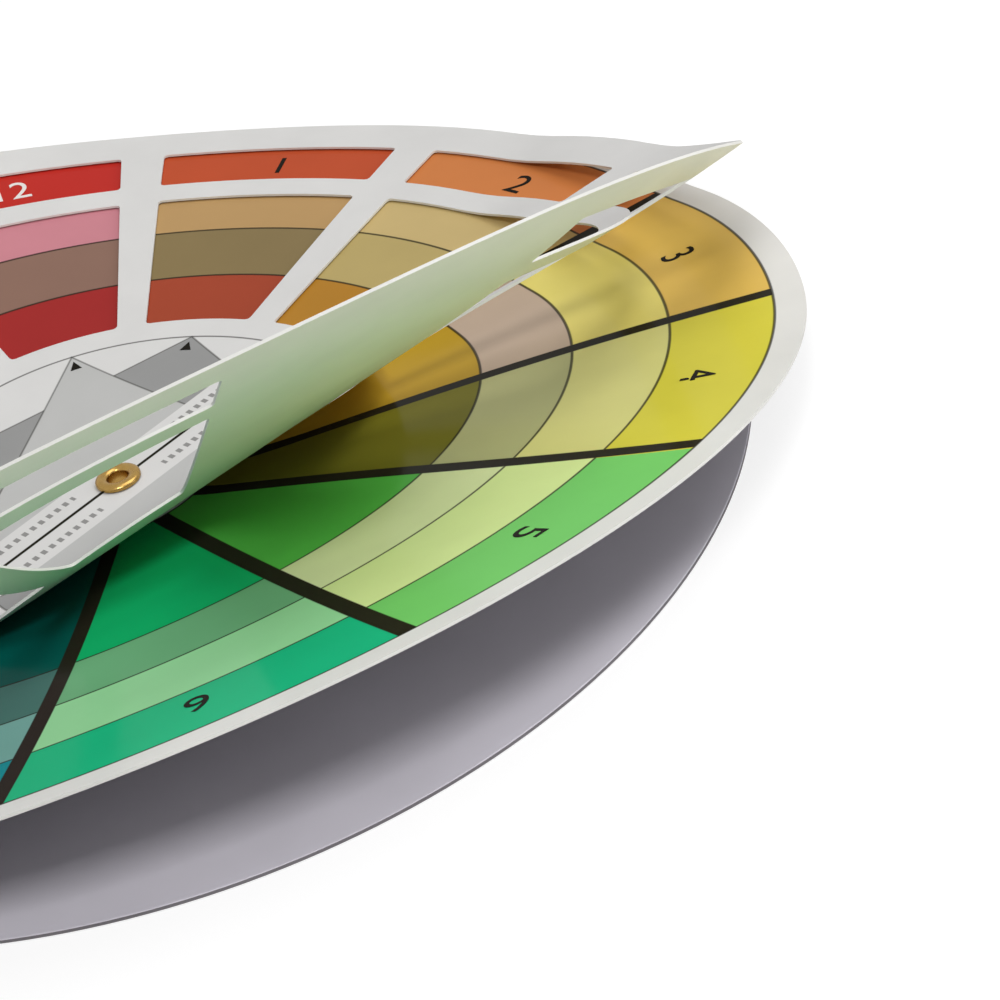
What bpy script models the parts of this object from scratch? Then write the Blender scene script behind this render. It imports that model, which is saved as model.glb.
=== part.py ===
# Colour mixing wheel: three card discs that turn on one brass eyelet.
#
# From the table up there is a plain back disc that lies flat, a larger chart disc
# that carries the printed colours, and a mask disc whose windows show the chart.
# The chart and the mask are thin cards that have taken a curl: behind the eyelet
# they lie together, in front the mask stands up far more than the chart.
# The eyelet goes through all three and its rear end is spread into a seat
# that it has pressed in the back disc. Metres, +Z up, the table at z = 0.

import math

import bmesh
import bpy
import numpy as np

# Discs
CHART_DIAMETER = 0.235
MASK_SETBACK = 0.00075
BACK_DIAMETER = 0.212
CARD_THICKNESS = 0.00045
BACK_THICKNESS = 0.0008
DISC_GAP = 0.0003

# Eyelet
EYELET_BORE = 0.0036
EYELET_WALL = 0.0004
FLANGE_DIAMETER = 0.0078
FLANGE_HEIGHT = 0.0009
FLANGE_LIP = 0.00025
REAR_DIAMETER = 0.0066
REAR_THICKNESS = 0.00025
HOLE_CLEARANCE = 0.0003
SEAT_CLEARANCE = 0.0003

# Windows of the mask, from its rim inwards: one sector in twelve has none
SECTORS = 12
BLANK_SECTOR = 4
FIRST_BAR_DEG = 76
RIM_BORDER = 0.00895
OUTER_WINDOW_DEPTH = 0.0122
RING_BAR_WIDTH = 0.0058
INNER_WINDOW_DEPTH = 0.0420
BAR_WIDTH_AT_CENTRE = 0.0052
BAR_WIDTH_AT_RIM = 0.0084
WINDOW_CORNER = 0.0008

# Curl of both cards. The card turns up or down by these angles at stations that
# lie across the curl; the skew is added for a place one disc radius to the side.
CURL_HEADING_DEG = -68
CURL_STATION_SHARES = (-1.1, -0.55, -0.06, 0.06, 0.16, 0.5, 1.1)
CURL_DEG = (-21.5, -12.5, 0, 0, 14, 15, 19.5)
CURL_SKEW_DEG = (26.5, 14.5, 0, 0, -4, -8.5, -1.5)
CURL_STEPS = 48

# The mask's own bend, added to the curl. It begins on a line in front of the
# eyelet, which leans and bows back to the rim, and its stations count from there.
BEND_START = 0.0083
BEND_LEAN_SHARE = 0.176
BEND_BOW_SHARE = 0.171
BEND_STATION_SHARES = (0, 0.1, 0.4, 1.3)
BEND_DEG = (0, 18.5, 26.5, 24)
BEND_SKEW_DEG = (0, -8.5, -16, 34)

# Fineness
STRIP_WIDTH = 0.0075
STRIP_LENGTH = 0.0165
RIM_POINTS = 108
HOLE_POINTS = 24
WINDOW_ARC_POINTS = 5
BACK_STEPS = 108
EYELET_STEPS = 48
FLANGE_POINTS = 7
MERGE_DISTANCE = 0.00002
PROBE_SHARE = 0.001
SMOOTH_ANGLE_DEG = 35

# Colours and finish: linear colour, roughness, metallic
FINISHES = {
    "back_disc": ((0.30, 0.27, 0.31), 0.55, 0.0),
    "chart_disc": ((0.42, 0.60, 0.20), 0.38, 0.0),
    "mask_disc": ((0.64, 0.64, 0.62), 0.40, 0.0),
    "eyelet": ((0.62, 0.42, 0.14), 0.25, 1.0),
}

# Sizes that follow from those above
BARREL_RADIUS = EYELET_BORE / 2 + EYELET_WALL
HOLE_RADIUS = BARREL_RADIUS + HOLE_CLEARANCE
SEAT_RADIUS = REAR_DIAMETER / 2 + SEAT_CLEARANCE
SEAT_DEPTH = REAR_THICKNESS + SEAT_CLEARANCE
CHART_LEVEL = BACK_THICKNESS + DISC_GAP + CARD_THICKNESS / 2
MASK_LIFT = CARD_THICKNESS + DISC_GAP
MASK_TOP = CHART_LEVEL + MASK_LIFT + CARD_THICKNESS / 2
CURL_RADIUS = CHART_DIAMETER / 2
MASK_RADIUS = CHART_DIAMETER / 2 - MASK_SETBACK
OUTER_WINDOW_RADIUS = MASK_RADIUS - RIM_BORDER
INNER_WINDOW_RADIUS = OUTER_WINDOW_RADIUS - OUTER_WINDOW_DEPTH - RING_BAR_WIDTH


def clear_scene():
    for thing in list(bpy.data.objects):
        bpy.data.objects.remove(thing, do_unlink=True)


def new_collection(name):
    collection = bpy.data.collections.new(name)
    bpy.context.scene.collection.children.link(collection)
    return collection


def finish(name):
    colour, roughness, metallic = FINISHES[name]
    material = bpy.data.materials.new(name)
    material.use_nodes = True
    shader = material.node_tree.nodes["Principled BSDF"]
    shader.inputs["Base Color"].default_value = (*colour, 1)
    shader.inputs["Roughness"].default_value = roughness
    shader.inputs["Metallic"].default_value = metallic
    return material


def place(name, mesh, collection, root):
    """Puts a mesh in the collection, with its origin on the turning axis."""
    piece = bpy.data.objects.new(name, mesh)
    mesh.materials.append(finish(name))
    mesh.shade_smooth()
    mesh.set_sharp_from_angle(angle=math.radians(SMOOTH_ANGLE_DEG))
    collection.objects.link(piece)
    piece.parent = root
    return piece


def circle(radius, count):
    """Points round the turning axis."""
    turns = [2 * math.pi * i / count for i in range(count)]
    return [(radius * math.cos(t), radius * math.sin(t)) for t in turns]


def bar_width(radius):
    """Width of the bar between two windows, which widens towards the rim."""
    inner_edge = INNER_WINDOW_RADIUS - INNER_WINDOW_DEPTH
    share = (radius - inner_edge) / (OUTER_WINDOW_RADIUS - inner_edge)
    return BAR_WIDTH_AT_CENTRE + share * (BAR_WIDTH_AT_RIM - BAR_WIDTH_AT_CENTRE)


def window(sector, outer, depth):
    """Outline of one window: two arcs joined by two straight sides, its corners
    rounded as a cutting die rounds them."""
    pitch = 2 * math.pi / SECTORS
    start = math.radians(FIRST_BAR_DEG) - sector * pitch
    sides = []
    for radius in (outer, outer - depth):
        half = math.asin(bar_width(radius) / 2 / radius)
        sides.append((radius, start - half, start - pitch + half))
    (r1, a1, b1), (r0, a0, b0) = sides
    corner1 = WINDOW_CORNER / r1
    corner0 = WINDOW_CORNER / r0
    points = []
    for i in range(WINDOW_ARC_POINTS + 1):
        t = a1 - corner1 + (b1 - a1 + 2 * corner1) * i / WINDOW_ARC_POINTS
        points.append((r1, t))
    points.append((r1 - WINDOW_CORNER, b1))
    points.append((r0 + WINDOW_CORNER, b0))
    for i in range(WINDOW_ARC_POINTS + 1):
        t = b0 + corner0 + (a0 - b0 - 2 * corner0) * i / WINDOW_ARC_POINTS
        points.append((r0, t))
    points.append((r0 + WINDOW_CORNER, a0))
    points.append((r1 - WINDOW_CORNER, a1))
    return [(r * math.cos(t), r * math.sin(t)) for r, t in points]


def flat_plate(outlines, thickness, level):
    """Die-cut card: a filled flat curve, its first outline the rim and the rest
    holes, turned into one closed mesh that is still flat."""
    curve = bpy.data.curves.new("die_line", "CURVE")
    curve.dimensions = "2D"
    curve.fill_mode = "BOTH"
    curve.extrude = thickness / 2
    for outline in outlines:
        spline = curve.splines.new("POLY")
        spline.points.add(len(outline) - 1)
        for point, (x, y) in zip(spline.points, outline):
            point.co = (x, y, 0, 1)
        spline.use_cyclic_u = True
    blank = bpy.data.objects.new("die_line", curve)
    bpy.context.scene.collection.objects.link(blank)
    bpy.context.view_layer.update()
    evaluated = blank.evaluated_get(bpy.context.evaluated_depsgraph_get())
    mesh = bpy.data.meshes.new_from_object(evaluated)
    bpy.data.objects.remove(blank)
    bpy.data.curves.remove(curve)
    plate = bmesh.new()
    plate.from_mesh(mesh)
    bpy.data.meshes.remove(mesh)
    bmesh.ops.remove_doubles(plate, verts=plate.verts, dist=MERGE_DISTANCE)
    bmesh.ops.translate(plate, verts=plate.verts, vec=(0, 0, level))
    return plate


def cut_into_cells(plate):
    """Cuts a plate along and across the curl, so that it can bend, and leaves one
    face in each cell. The curl runs along X here."""
    reach = CHART_DIAMETER / 2 + STRIP_WIDTH
    for axis, step in ((0, STRIP_WIDTH), (1, STRIP_LENGTH)):
        count = int(reach / step)
        normal = [0, 0, 0]
        normal[axis] = 1
        for i in range(-count, count + 1):
            spot = [0, 0, 0]
            spot[axis] = i * step
            everything = plate.verts[:] + plate.edges[:] + plate.faces[:]
            bmesh.ops.bisect_plane(
                plate, geom=everything, dist=MERGE_DISTANCE, plane_co=spot,
                plane_no=normal)
    spare = []
    for edge in plate.edges:
        ends = [vert.co for vert in edge.verts]
        flat = all(abs(face.normal.z) > math.cos(math.radians(1))
                   for face in edge.link_faces)
        kept = False
        for axis, step in ((0, STRIP_WIDTH), (1, STRIP_LENGTH)):
            lines = [end[axis] / step for end in ends]
            same = abs(lines[0] - lines[1]) * step < MERGE_DISTANCE
            on_line = abs(lines[0] - round(lines[0])) * step < MERGE_DISTANCE
            kept = kept or (same and on_line)
        if flat and not kept:
            spare.append(edge)
    bmesh.ops.dissolve_edges(plate, edges=spare, use_verts=False)
    loose = [vert for vert in plate.verts if len(vert.link_edges) == 2]
    bmesh.ops.dissolve_verts(plate, verts=loose)
    bmesh.ops.triangulate(plate, faces=plate.faces[:])


def turned_up(stations, across, station_shares, degrees, skew_degrees):
    """Angles of the card at stations across the curl."""
    shares = stations / CURL_RADIUS
    angles = np.interp(shares, station_shares, np.radians(degrees))
    skews = np.interp(shares, station_shares, np.radians(skew_degrees))
    return angles + skews * (across / CURL_RADIUS)[:, None]


def curled(along, across, bends):
    """Where places on the flat card lie once it is curled. Each strip is followed
    from the eyelet's line outwards, turning by the angles at its stations. A card
    that bends turns further up beyond the line where its bend begins."""
    middles = (np.arange(CURL_STEPS) + 0.5) / CURL_STEPS
    curl = (CURL_STATION_SHARES, CURL_DEG, CURL_SKEW_DEG)
    angles = turned_up(np.outer(along, middles), across, *curl)
    reach = along * np.cos(angles).mean(axis=1)
    rise = along * np.sin(angles).mean(axis=1)
    if bends:
        aside = across / CURL_RADIUS
        back = CURL_RADIUS * (BEND_LEAN_SHARE * aside + BEND_BOW_SHARE * aside ** 2)
        start = BEND_START - back
        beyond = np.maximum(along - start, 0)
        run = np.outer(beyond, middles)
        bend = (BEND_STATION_SHARES, BEND_DEG, BEND_SKEW_DEG)
        below = turned_up(start[:, None] + run, across, *curl)
        above = below + turned_up(run, across, *bend)
        reach = reach + beyond * (np.cos(above) - np.cos(below)).mean(axis=1)
        rise = rise + beyond * (np.sin(above) - np.sin(below)).mean(axis=1)
    return np.stack([reach, across, rise], axis=1)


def curl_plate(plate, bends):
    """Bends a cut plate: each point keeps its height off the card's middle layer,
    measured square to the curled surface."""
    flat = np.array([vert.co[:] for vert in plate.verts])
    along, across, lift = flat[:, 0], flat[:, 1], flat[:, 2]
    probe = CURL_RADIUS * PROBE_SHARE
    ahead = curled(along + probe, across, bends)
    behind = curled(along - probe, across, bends)
    left = curled(along, across + probe, bends)
    right = curled(along, across - probe, bends)
    normal = np.cross(ahead - behind, left - right)
    normal = normal / np.linalg.norm(normal, axis=1)[:, None]
    points = curled(along, across, bends) + normal * lift[:, None]
    points[:, 2] += CHART_LEVEL
    for vert, point in zip(plate.verts, points):
        vert.co = point


def curled_card(name, outlines, lift, bends, collection, root):
    plate = flat_plate(outlines, CARD_THICKNESS, lift)
    heading = math.radians(CURL_HEADING_DEG)
    turn_to(plate, -heading)
    cut_into_cells(plate)
    curl_plate(plate, bends)
    turn_to(plate, heading)
    bmesh.ops.recalc_face_normals(plate, faces=plate.faces[:])
    mesh = bpy.data.meshes.new(name)
    plate.to_mesh(mesh)
    plate.free()
    return place(name, mesh, collection, root)


def turn_to(plate, angle):
    """Turns a plate about the eyelet's axis."""
    c, s = math.cos(angle), math.sin(angle)
    for vert in plate.verts:
        x, y, z = vert.co
        vert.co = (c * x - s * y, s * x + c * y, z)


def turned(name, profile, steps, collection, root):
    """Solid of revolution round the turning axis, from a closed profile of radius
    and height that runs down its outer side."""
    mesh = bpy.data.meshes.new(name)
    count = len(profile)
    loop = [(i, (i + 1) % count) for i in range(count)]
    mesh.from_pydata([(r, 0, z) for r, z in profile], loop, [])
    piece = place(name, mesh, collection, root)
    screw = piece.modifiers.new("Turn", "SCREW")
    screw.steps = steps
    screw.render_steps = steps
    screw.use_merge_vertices = True
    screw.merge_threshold = MERGE_DISTANCE
    screw.use_smooth_shade = False
    return piece


def make_back_disc(collection, root):
    """Flat back disc, with the eyelet's hole and the shallow seat that the spread
    rear end has pressed in its underside."""
    radius = BACK_DIAMETER / 2
    profile = [
        (HOLE_RADIUS, BACK_THICKNESS),
        (radius, BACK_THICKNESS),
        (radius, 0),
        (SEAT_RADIUS, 0),
        (SEAT_RADIUS, SEAT_DEPTH),
        (HOLE_RADIUS, SEAT_DEPTH),
    ]
    return turned("back_disc", profile, BACK_STEPS, collection, root)


def make_chart_disc(collection, root):
    outlines = [
        circle(CHART_DIAMETER / 2, RIM_POINTS),
        circle(HOLE_RADIUS, HOLE_POINTS),
    ]
    return curled_card("chart_disc", outlines, 0, False, collection, root)


def make_mask_disc(collection, root):
    """Mask with an outer and an inner window in every sector but the blank one."""
    outlines = [
        circle(MASK_RADIUS, RIM_POINTS),
        circle(HOLE_RADIUS, HOLE_POINTS),
    ]
    for sector in range(SECTORS):
        if sector != BLANK_SECTOR:
            outlines.append(window(sector, OUTER_WINDOW_RADIUS, OUTER_WINDOW_DEPTH))
            outlines.append(window(sector, INNER_WINDOW_RADIUS, INNER_WINDOW_DEPTH))
    return curled_card("mask_disc", outlines, MASK_LIFT, True, collection, root)


def make_eyelet(collection, root):
    """Brass eyelet: barrel, rolled front flange that curves over, spread rear."""
    bore = EYELET_BORE / 2
    flange = FLANGE_DIAMETER / 2
    under = MASK_TOP + DISC_GAP
    shoulder = under + FLANGE_LIP
    middle = (bore + flange) / 2
    half = (flange - bore) / 2
    crown = FLANGE_HEIGHT - FLANGE_LIP
    profile = []
    for i in range(FLANGE_POINTS + 1):
        t = math.pi * (1 - i / FLANGE_POINTS)
        profile.append((middle + half * math.cos(t), shoulder + crown * math.sin(t)))
    profile.append((flange, under))
    profile.append((BARREL_RADIUS, under))
    profile.append((BARREL_RADIUS, REAR_THICKNESS))
    profile.append((REAR_DIAMETER / 2, REAR_THICKNESS))
    profile.append((REAR_DIAMETER / 2, 0))
    profile.append((bore, 0))
    return turned("eyelet", profile, EYELET_STEPS, collection, root)


def centre_on_table(root, pieces):
    """Moves the whole wheel so that the middle of its box stands over the origin."""
    bpy.context.view_layer.update()
    depsgraph = bpy.context.evaluated_depsgraph_get()
    corners = []
    for piece in pieces:
        mesh = piece.evaluated_get(depsgraph).to_mesh()
        points = np.array([vert.co[:] for vert in mesh.vertices])
        corners.append(points.min(axis=0))
        corners.append(points.max(axis=0))
    low = np.min(corners, axis=0)
    high = np.max(corners, axis=0)
    middle = (low + high) / 2
    root.location = (-middle[0], -middle[1], 0)
    bpy.context.view_layer.update()
    print("eyelet axis at", [round(v, 6) for v in root.location])
    print("box", [round(v, 5) for v in (high - low)])


def main():
    clear_scene()
    collection = new_collection("color_mixing_wheel")
    root = bpy.data.objects.new("turning_axis", None)
    collection.objects.link(root)
    pieces = [
        make_back_disc(collection, root),
        make_chart_disc(collection, root),
        make_mask_disc(collection, root),
        make_eyelet(collection, root),
    ]
    centre_on_table(root, pieces)


main()
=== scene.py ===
# %% [markdown]
# # A color mixing wheel in card
# A painter turns three card discs on one brass eyelet to read off what two colors make.
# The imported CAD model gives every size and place. This lesson dresses it: finer cards
# that follow the same curl, the printed chart, the white mask and the polished eyelet.

import math

import bmesh
import bpy
from mathutils import Matrix, Vector


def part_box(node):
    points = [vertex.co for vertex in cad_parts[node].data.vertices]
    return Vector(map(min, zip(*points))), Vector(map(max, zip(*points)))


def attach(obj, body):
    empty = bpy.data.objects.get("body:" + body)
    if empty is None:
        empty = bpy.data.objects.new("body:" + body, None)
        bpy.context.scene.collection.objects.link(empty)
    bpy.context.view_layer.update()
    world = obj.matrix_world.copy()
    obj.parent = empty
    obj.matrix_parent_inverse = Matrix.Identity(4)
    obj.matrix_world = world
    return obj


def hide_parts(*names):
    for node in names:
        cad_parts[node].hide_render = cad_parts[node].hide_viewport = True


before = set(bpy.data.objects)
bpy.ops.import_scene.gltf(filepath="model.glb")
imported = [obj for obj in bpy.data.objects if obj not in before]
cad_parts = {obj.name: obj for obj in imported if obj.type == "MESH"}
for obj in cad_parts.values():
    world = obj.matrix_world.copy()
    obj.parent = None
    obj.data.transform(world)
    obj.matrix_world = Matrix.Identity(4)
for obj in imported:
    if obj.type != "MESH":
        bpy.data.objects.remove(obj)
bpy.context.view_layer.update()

# %% [markdown]
# ## Sizes
# The eyelet's box tells where the turning axis stands, because the frame's origin lies
# under the middle of the whole wheel and not under the eyelet. The other sizes are those
# of the cards: a real wheel of this kind is 235 mm across and cut from card of 0.45 mm.
# The curl is written as angles in degrees at stations along its heading, which are
# counted in radii of the chart from the eyelet, or for the mask's own bend from where it
# begins. A skew is what an angle gains for each radius to the side.

# %% Sizes of the discs
eyelet_low, eyelet_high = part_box("eyelet")
back_low, back_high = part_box("back_disc")
AXIS_X = (eyelet_low.x + eyelet_high.x) / 2
AXIS_Y = (eyelet_low.y + eyelet_high.y) / 2
CHART_RADIUS = 0.1175
MASK_RADIUS = 0.11675
BACK_RADIUS = (back_high.x - back_low.x) / 2
BACK_THICKNESS = back_high.z - back_low.z
CARD = 0.00045
DISC_GAP = 0.0003
HOLE_RADIUS = 0.0025
CHART_LEVEL = BACK_THICKNESS + DISC_GAP + CARD / 2
MASK_LIFT = CARD + DISC_GAP
print("eyelet axis", round(AXIS_X, 6), round(AXIS_Y, 6), "back disc", BACK_RADIUS)

# %% Windows of the mask
SECTORS = 12
PITCH = 2 * math.pi / SECTORS
BLANK_SECTOR = 4
FIRST_BAR = math.radians(76)
FIRST_LINE = math.radians(75.5)
OUTER_WINDOW = (0.0956, 0.1078)
INNER_WINDOW = (0.0478, 0.0898)
BAR_WIDTHS = (0.0052, 0.0084)
CORNER = 0.0008
print("windows", 2 * (SECTORS - 1), "bars", BAR_WIDTHS[0], "to", BAR_WIDTHS[1])

# %% Curl of the cards
HEADING = math.radians(-68)
STATIONS = (-1.1, -0.55, -0.06, 0.06, 0.16, 0.5, 1.1)
CURL = (-21.5, -12.5, 0, 0, 14, 15, 19.5)
CURL_SKEW = (26.5, 14.5, 0, 0, -4, -8.5, -1.5)
CURL_STEPS = 48
print("curl from", CURL[0], "to", CURL[-1], "degrees")

# %% The mask's own bend
BEND_START = 0.0083
BEND_LEAN = 0.176
BEND_BOW = 0.171
BEND_STATIONS = (0, 0.1, 0.4, 1.3)
BEND = (0, 18.5, 26.5, 24)
BEND_SKEW = (0, -8.5, -16, 34)
print("the mask's bend adds", max(BEND), "degrees at most")

# %% [markdown]
# ## Helpers
# Every tree below is made in code. One small helper adds a node, sets its properties and
# fills or links its inputs, so that a line reads almost like the node's panel. A few more
# start and close a Geometry Nodes tree, and turn its result into a plain mesh.


# %% Node helper
def add(tree, kind, inputs=None, **settings):
    """Adds a node. An input's value is a number, a color, or another node's output."""
    node = tree.nodes.new(kind)
    for key, value in settings.items():
        setattr(node, key, value)
    for key, value in (inputs or {}).items():
        socket = node.inputs[key]
        if isinstance(value, bpy.types.NodeSocket):
            tree.links.new(value, socket)
        else:
            socket.default_value = value
    return node


def calc(tree, operation, *values):
    """One Math node: calc(tree, "ADD", a, b) gives its output."""
    inputs = dict(enumerate(values))
    return add(tree, "ShaderNodeMath", inputs, operation=operation).outputs[0]


# %% Geometry Nodes helpers
def new_tree(name, inputs):
    """Geometry Nodes tree with named inputs, and the outputs of its Group Input."""
    tree = bpy.data.node_groups.new(name, "GeometryNodeTree")
    for title, kind in inputs.items():
        tree.interface.new_socket(title, in_out="INPUT", socket_type="NodeSocket" + kind)
    tree.interface.new_socket("Result", in_out="OUTPUT", socket_type="NodeSocketGeometry")
    return tree, add(tree, "NodeGroupInput").outputs


def close_tree(tree, geometry, material):
    """Makes instances real, gives the faces their material and puts them out."""
    real = add(tree, "GeometryNodeRealizeInstances", {0: geometry}).outputs[0]
    printed = add(tree, "GeometryNodeSetMaterial",
                  {"Geometry": real, "Material": material}).outputs[0]
    add(tree, "NodeGroupOutput", {0: printed})
    print(tree.name, len(tree.nodes), "nodes")


def grow(holder, tree, values):
    """Puts a tree on an object. An input is set by its socket's identifier."""
    modifier = holder.modifiers.new(tree.name, "NODES")
    modifier.node_group = tree
    for item in tree.interface.items_tree:
        if item.item_type == "SOCKET" and item.name in values:
            modifier[item.identifier] = values[item.name]


# %% Object helpers
def new_object(name, data):
    """Object for a mesh, a curve, a lamp or a camera, linked to the scene."""
    thing = bpy.data.objects.new(name, data)
    bpy.context.scene.collection.objects.link(thing)
    return thing


def plain_mesh(holder):
    """What an object's modifiers make of it, as a plain mesh. The object goes."""
    bpy.context.view_layer.update()
    evaluated = holder.evaluated_get(bpy.context.evaluated_depsgraph_get())
    mesh = bpy.data.meshes.new_from_object(evaluated)
    bpy.data.objects.remove(holder)
    return mesh


def mesh_of(work, name):
    """Mesh with the faces of a bmesh, which is freed."""
    mesh = bpy.data.meshes.new(name)
    work.to_mesh(mesh)
    work.free()
    return mesh


# %% [markdown]
# ## The curl
# A card disc that has been stored badly takes a curl: it stays flat under the eyelet and
# turns up along lines that run across it. A bend along one direction keeps its length, so
# each strip of card can be followed from the eyelet outwards, step by step, adding the
# cosine and the sine of the angle it has turned to. A Geometry Nodes repeat zone does
# this sum for all points at once, and curves hold the angles at their stations. That is
# better than moving points by hand: the printed sheet stays true to size, as paper does.


# %% Angles at stations
def angle_curve(tree, station, stations, degrees):
    """Float Curve that gives the angle in radians at a station. It holds shares from 0
    to 1, so the angles from -90 to 90 degrees are scaled to shares and back."""
    low, high = stations[0], stations[-1]
    share = calc(tree, "DIVIDE", calc(tree, "SUBTRACT", station, low), high - low)
    node = add(tree, "ShaderNodeFloatCurve", {"Value": share})
    points = node.mapping.curves[0].points
    while len(points) < len(stations):
        points.new(0.5, 0.5)
    for point, place, angle in zip(points, stations, degrees):
        point.location = ((place - low) / (high - low), angle / 180 + 0.5)
        point.handle_type = "VECTOR"
    node.mapping.update()
    half_turn = calc(tree, "MULTIPLY", node.outputs[0], math.pi)
    return calc(tree, "SUBTRACT", half_turn, math.pi / 2)


def turned_up(tree, station, across, stations, degrees, skew):
    """Angle of the card: the curve's, and its skew times the place to the side."""
    twist = calc(tree, "MULTIPLY", angle_curve(tree, station, stations, skew), across)
    return calc(tree, "ADD", angle_curve(tree, station, stations, degrees), twist)


# %% [markdown]
# The mask lies on the chart behind the eyelet and so has the chart's curl there. In front
# of the eyelet it bends further up. That second bend begins on a line which leans and
# bows, because the mask is held only in its middle and its right end has lifted too.
# Beyond the line the tree adds the difference that the bend makes to every step.

# %% The curl tree: inputs
curl_tree, given = new_tree("Curl of a card", {
    "Card": "Geometry", "Radius": "Float", "Heading": "Float", "Level": "Float",
    "Lift": "Float", "Bend": "Float", "Bend Start": "Float", "Bend Lean": "Float",
    "Bend Bow": "Float", "Steps": "Int", "Print": "Material"})

# %% The curl tree: flat place along and across the curl
flat = add(curl_tree, "GeometryNodeInputPosition").outputs[0]
straight = add(curl_tree, "ShaderNodeVectorRotate", {
    "Vector": flat, "Angle": calc(curl_tree, "MULTIPLY", given["Heading"], -1.0)},
    rotation_type="Z_AXIS").outputs[0]
spot = add(curl_tree, "ShaderNodeSeparateXYZ", {0: straight}).outputs
along = calc(curl_tree, "DIVIDE", spot[0], given["Radius"])
across = calc(curl_tree, "DIVIDE", spot[1], given["Radius"])
lean = calc(curl_tree, "MULTIPLY", given["Bend Lean"], across)
square = calc(curl_tree, "MULTIPLY", across, across)
bow = calc(curl_tree, "MULTIPLY", given["Bend Bow"], square)
start_share = calc(curl_tree, "DIVIDE", given["Bend Start"], given["Radius"])
start = calc(curl_tree, "SUBTRACT", start_share, calc(curl_tree, "ADD", lean, bow))
beyond = calc(curl_tree, "MAXIMUM", calc(curl_tree, "SUBTRACT", along, start), 0.0)

# %% The curl tree: the sum over the steps
first = add(curl_tree, "GeometryNodeRepeatInput")
last = add(curl_tree, "GeometryNodeRepeatOutput")
first.pair_with_output(last)
last.repeat_items.clear()
curl_tree.links.new(given["Steps"], first.inputs["Iterations"])
middle = calc(curl_tree, "ADD", first.outputs["Iteration"], 0.5)
share = calc(curl_tree, "DIVIDE", middle, given["Steps"])
curl = turned_up(curl_tree, calc(curl_tree, "MULTIPLY", along, share), across,
                 STATIONS, CURL, CURL_SKEW)
run = calc(curl_tree, "MULTIPLY", beyond, share)
below = turned_up(curl_tree, calc(curl_tree, "ADD", start, run), across,
                  STATIONS, CURL, CURL_SKEW)
bend = turned_up(curl_tree, run, across, BEND_STATIONS, BEND, BEND_SKEW)
above = calc(curl_tree, "ADD", below, calc(curl_tree, "MULTIPLY", bend, given["Bend"]))
sums = {
    "Reach": calc(curl_tree, "COSINE", curl),
    "Rise": calc(curl_tree, "SINE", curl),
    "Bent Reach": calc(curl_tree, "SUBTRACT", calc(curl_tree, "COSINE", above),
                       calc(curl_tree, "COSINE", below)),
    "Bent Rise": calc(curl_tree, "SUBTRACT", calc(curl_tree, "SINE", above),
                      calc(curl_tree, "SINE", below)),
}
for title, value in sums.items():
    last.repeat_items.new("FLOAT", title)
    total = calc(curl_tree, "ADD", first.outputs[title], value)
    curl_tree.links.new(total, last.inputs[title])

# %% The curl tree: curled place
step = calc(curl_tree, "DIVIDE", spot[0], given["Steps"])
bent_step = calc(curl_tree, "DIVIDE", calc(
    curl_tree, "MULTIPLY", beyond, given["Radius"]), given["Steps"])
places = []
for title in ("Reach", "Rise"):
    plain = calc(curl_tree, "MULTIPLY", last.outputs[title], step)
    bent = calc(curl_tree, "MULTIPLY", last.outputs["Bent " + title], bent_step)
    places.append(calc(curl_tree, "ADD", plain, bent))
bent_place = add(curl_tree, "ShaderNodeCombineXYZ", {
    0: places[0], 1: spot[1],
    2: calc(curl_tree, "ADD", places[1], given["Level"])}).outputs[0]
turned_back = add(curl_tree, "ShaderNodeVectorRotate", {
    "Vector": bent_place, "Angle": given["Heading"]}, rotation_type="Z_AXIS").outputs[0]
on_axis = add(curl_tree, "ShaderNodeVectorMath",
              {0: turned_back, 1: (AXIS_X, AXIS_Y, 0)}).outputs[0]
moved = add(curl_tree, "GeometryNodeSetPosition",
            {"Geometry": given["Card"], "Position": on_axis}).outputs[0]
normal = add(curl_tree, "GeometryNodeInputNormal").outputs[0]
lift = add(curl_tree, "ShaderNodeVectorMath",
           {0: normal, "Scale": given["Lift"]}, operation="SCALE").outputs[0]
lifted = add(curl_tree, "GeometryNodeSetPosition",
             {"Geometry": moved, "Offset": lift}).outputs[0]
close_tree(curl_tree, lifted, given["Print"])


# %% Curl a flat mesh and make it plain again
SHARP_FOLD = math.radians(35)


def curled(name, mesh, body, materials, lift=0.0, thickness=CARD, bend=0.0):
    """Curls a flat mesh with the tree, gives it its thickness and returns the piece.
    The materials are those of its face, its underside and its cut edge."""
    blank = new_object(name + "_flat", mesh)
    for material in materials:
        mesh.materials.append(material)
    grow(blank, curl_tree, {
        "Radius": CHART_RADIUS, "Heading": HEADING, "Level": CHART_LEVEL, "Lift": lift,
        "Bend": bend, "Bend Start": BEND_START, "Bend Lean": BEND_LEAN,
        "Bend Bow": BEND_BOW, "Steps": CURL_STEPS, "Print": materials[0]})
    wall = blank.modifiers.new("Card thickness", "SOLIDIFY")
    wall.thickness = thickness
    wall.offset = 0
    wall.material_offset = 1 if len(materials) > 1 else 0
    wall.material_offset_rim = 2 if len(materials) > 2 else 0
    plain = plain_mesh(blank)
    plain.name = name
    plain.shade_smooth()
    plain.set_sharp_from_angle(angle=SHARP_FOLD)
    piece = new_object(name, plain)
    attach(piece, body)
    top = max(v.co.z for v in plain.vertices)
    print(name, len(plain.polygons), "faces, top at", round(top, 4))
    return piece


# %% [markdown]
# ## Flat cards
# A disc is easiest to mesh in rings and spokes. On the mask the spokes lean a little, so
# that they run exactly along the sides of the windows; then a window is simply the faces
# that are left out, and its edges come out clean.


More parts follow.
